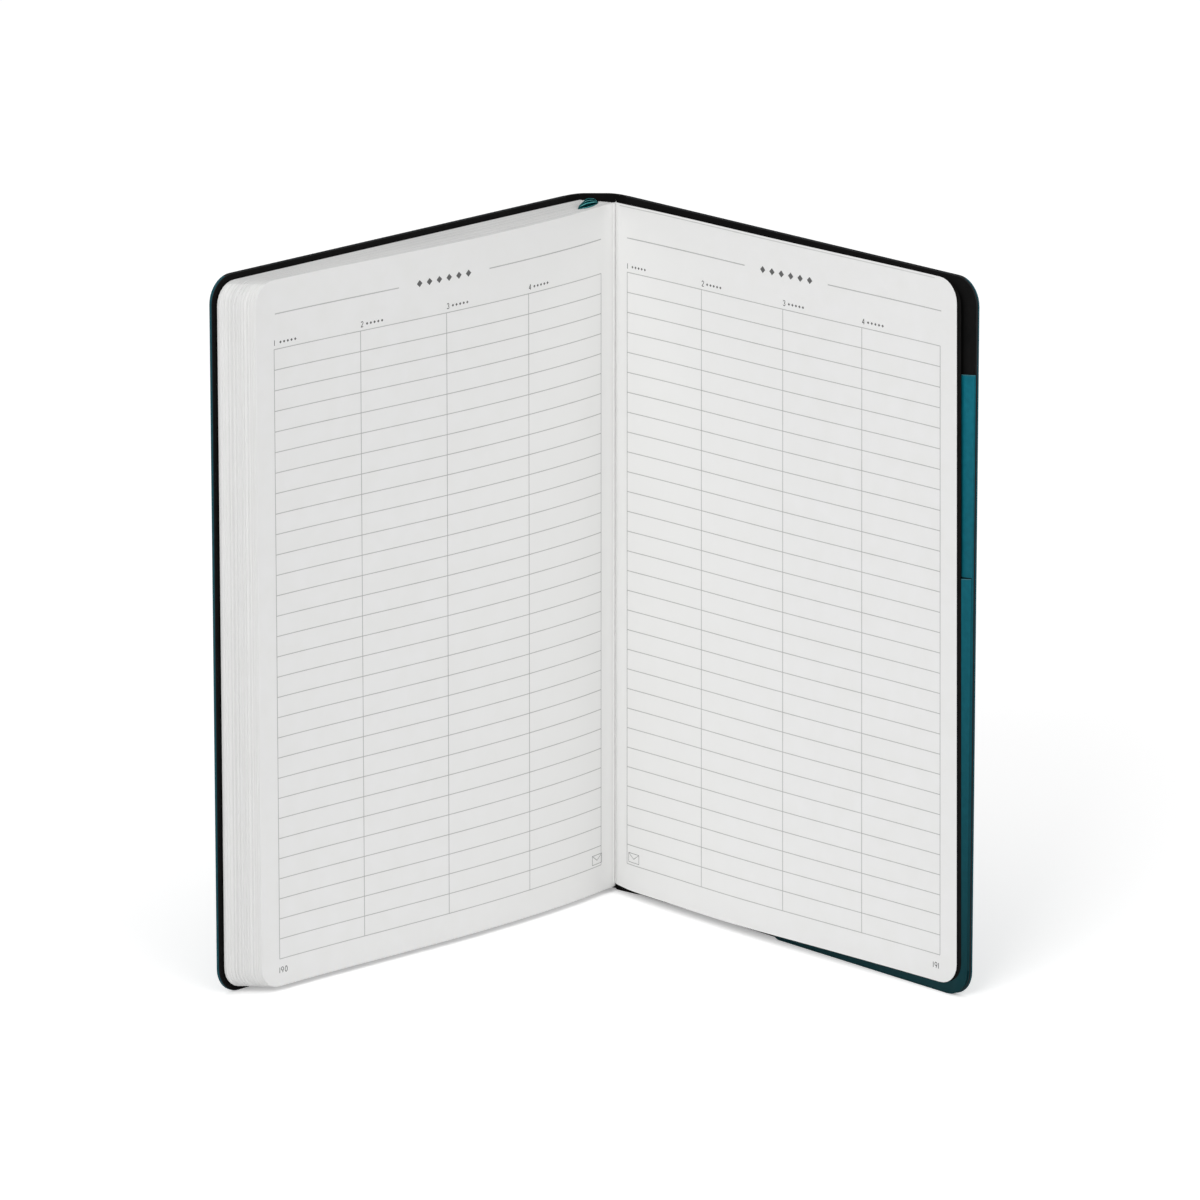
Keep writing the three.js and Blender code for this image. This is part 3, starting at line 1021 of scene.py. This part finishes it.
def along(points, t):
    """The place at share t of a smooth curve through points."""
    at = t * (len(points) - 1)
    k = min(int(at), len(points) - 2)
    u = at - k
    before, a = Vector(points[max(k - 1, 0)]), Vector(points[k])
    b, after = Vector(points[k + 1]), Vector(points[min(k + 2, len(points) - 1)])
    return (a * 2 + (b - before) * u + (before * 2 - a * 5 + b * 4 - after) * u ** 2
            + (a * 3 - before - b * 3 + after) * u ** 3) / 2


def ribbon_row(step, lift):
    """Places across the ribbon, which bulges a little between its two edges."""
    near, far = along(RIBBON_NEAR, step / RIBBON_STEPS), along(RIBBON_FAR, step / RIBBON_STEPS)
    puff = RIBBON_PUFF * min(1.0, (far - near).length / PUFF_FULL)
    row = []
    for j in range(RIBBON_STRIPS + 1):
        v = j / RIBBON_STRIPS
        place = near.lerp(far, v)
        row.append((place.x, place.y, place.z + puff * math.sin(math.pi * v) + lift))
    return row


def add_ribbon():
    """The ribbon bows over the head: a leaf-shaped band, which leans back on the leaves."""
    made = Mesh()
    low, high = [[made.add(*ribbon_row(step, lift)) for step in range(RIBBON_STEPS + 1)]
                 for lift in (-RIBBON_THICK, 0.0)]
    made.grid(low, 0, flip=True)
    for j in range(RIBBON_STRIPS):
        # Some strips take the paler satin as painted highlights.
        made.grid([row[j:j + 2] for row in high], 1 if j in RIBBON_HIGHLIGHTS else 0)
    made.grid([low[0], high[0]])
    made.grid([low[-1], high[-1]])
    made.sides(low, high)
    piece = made.build("ribbon_bow", [satin, satin_highlight], smooth=60)
    metres((0.7, -6.9, 0))
    metres((-2.0, -9.0, 0))
    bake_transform(piece)
    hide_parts("ribbon_loop")


# Make it all

def dress_nodes():
    """Gives the nodes that no piece replaces their materials."""
    looks = {"gauze": cotton, "thread": cotton, "flyleaf": black_paper, "ribbon_tail": satin}
    for name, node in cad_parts.items():
        for part, material in looks.items():
            if part in name:
                node.data.materials.clear()
                node.data.materials.append(material)


# Camera, floor and lights, in metres and degrees. The floor's sizes are in millimetres.
TARGET, CAMERA_DISTANCE, CAMERA_RISE = (0.0013, 0.0, 0.1007), 3.2, 15.35
SENSOR, FOCAL_SHARE = 36.0, 9515 / 1200
FLOOR_SIZE, FLOOR_LOW, FLOOR_GLOW = 6000.0, -0.02, 0.33
LAMP_TARGET = (0, -0.05, 0.1)
ROOM_LIGHT, SUN_SPREAD = 0.40, 80


def place_in_scene(name, data, back):
    """A camera or a light that looks along minus back, in the scene."""
    made = bpy.data.objects.new(name, data)
    made.rotation_mode = "QUATERNION"
    made.rotation_quaternion = (-back).to_track_quat("-Z", "Y")
    bpy.context.scene.collection.objects.link(made)
    return made


def make_camera():
    rise = math.radians(CAMERA_RISE)
    back = Vector((0.0, -math.cos(rise), math.sin(rise)))
    data = bpy.data.cameras.new("camera")
    data.sensor_width = SENSOR
    data.lens = FOCAL_SHARE * SENSOR
    data.clip_start, data.clip_end = 0.1, 30.0
    camera = place_in_scene("camera", data, back)
    camera.location = Vector(TARGET) + back * CAMERA_DISTANCE
    bpy.context.scene.camera = camera


def make_floor():
    """A pale floor, which looks a little brighter than it lights the notebook."""
    made = Mesh()
    made.face(made.add(*[(x * FLOOR_SIZE, y * FLOOR_SIZE, FLOOR_LOW)
                         for x, y in ((-1, -1), (1, -1), (1, 1), (-1, 1))]))
    look = Look("floor", roughness=0.9, specular=0.0)
    look.colour(look.mix(look.noise(400, 2), "f6f6f6", "f8f8f8"))
    glow = look.node("Emission", Strength=FLOOR_GLOW).outputs[0]
    add = look.node("AddShader")
    mix = look.node("MixShader")
    own = look.shader.outputs[0]
    look.link(own, add.inputs[0])
    look.link(glow, add.inputs[1])
    look.link(look.node("LightPath").outputs["Is Camera Ray"], mix.inputs[0])
    look.link(own, mix.inputs[1])
    look.link(add.outputs[0], mix.inputs[2])
    look.link(mix.outputs[0], look.nodes["Material Output"].inputs[0])
    made.build("floor", [look.material])


def make_light(name, place, size, power):
    data = bpy.data.lights.new(name, "AREA")
    data.shape = "SQUARE"
    data.size = size
    data.energy = power
    place_in_scene(name, data, Vector(place) - Vector(LAMP_TARGET)).location = place


def make_sun(back, strength):
    """Wide, even light from above, so that the floor is as pale far behind as in front."""
    data = bpy.data.lights.new("sky", "SUN")
    data.energy = strength
    data.angle = math.radians(SUN_SPREAD)
    place_in_scene("sky", data, Vector(back))


def make_world():
    """Soft light all round, which the camera and reflections see as plain white."""
    world = bpy.data.worlds.new("studio")
    bpy.context.scene.world = world
    world.use_nodes = True
    nodes, links = world.node_tree.nodes, world.node_tree.links
    soft, white = nodes["Background"], nodes.new("ShaderNodeBackground")
    for room, strength in ((soft, ROOM_LIGHT), (white, 1.0)):
        room.inputs["Color"].default_value = (1, 1, 1, 1)
        room.inputs["Strength"].default_value = strength
    path = nodes.new("ShaderNodeLightPath")
    seen = path.outputs["Is Camera Ray"]
    for ray in ("Is Glossy Ray", "Is Transmission Ray"):
        either = nodes.new("ShaderNodeMath")
        either.operation = "MAXIMUM"
        links.new(seen, either.inputs[0])
        links.new(path.outputs[ray], either.inputs[1])
        seen = either.outputs[0]
    mix = nodes.new("ShaderNodeMixShader")
    for number, out in enumerate((seen, soft.outputs[0], white.outputs[0])):
        links.new(out, mix.inputs[number])
    links.new(mix.outputs[0], nodes["World Output"].inputs[0])


make_camera()
add_spine()
add_cover("front", front_plane, COVER_WIDTH - FRONT_TRIM, FRONT_TURNED_IN)
add_cover("back", back_plane, COVER_WIDTH, BACK_TURNED_IN)
add_hinge("front", front_plane, -1)
add_hinge("back", back_plane, 1)
for number in range(SIGNATURES):
    add_signature(number)
add_last_leaf()
add_back_flyleaf()
add_left_print()
add_right_print()
add_dots()
add_panel("pocket_back", "pocket_back_panel", POCKET_BACK_OUT, POCKET_BACK, 0.0)
add_gusset()
add_panel("pocket_front", "pocket_front_panel", POCKET_FRONT_OUT, POCKET_FRONT, FRONT_SAG)
add_ribbon()
dress_nodes()
make_floor()
make_world()
make_light("key", (-1.0, -2.2, 1.5), 1.4, 26)
make_light("fill", (1.5, -2.2, 1.1), 1.6, 10)
make_sun((0.1, -0.5, 2.2), 0.9)
bpy.context.scene.view_settings.view_transform = "Standard"
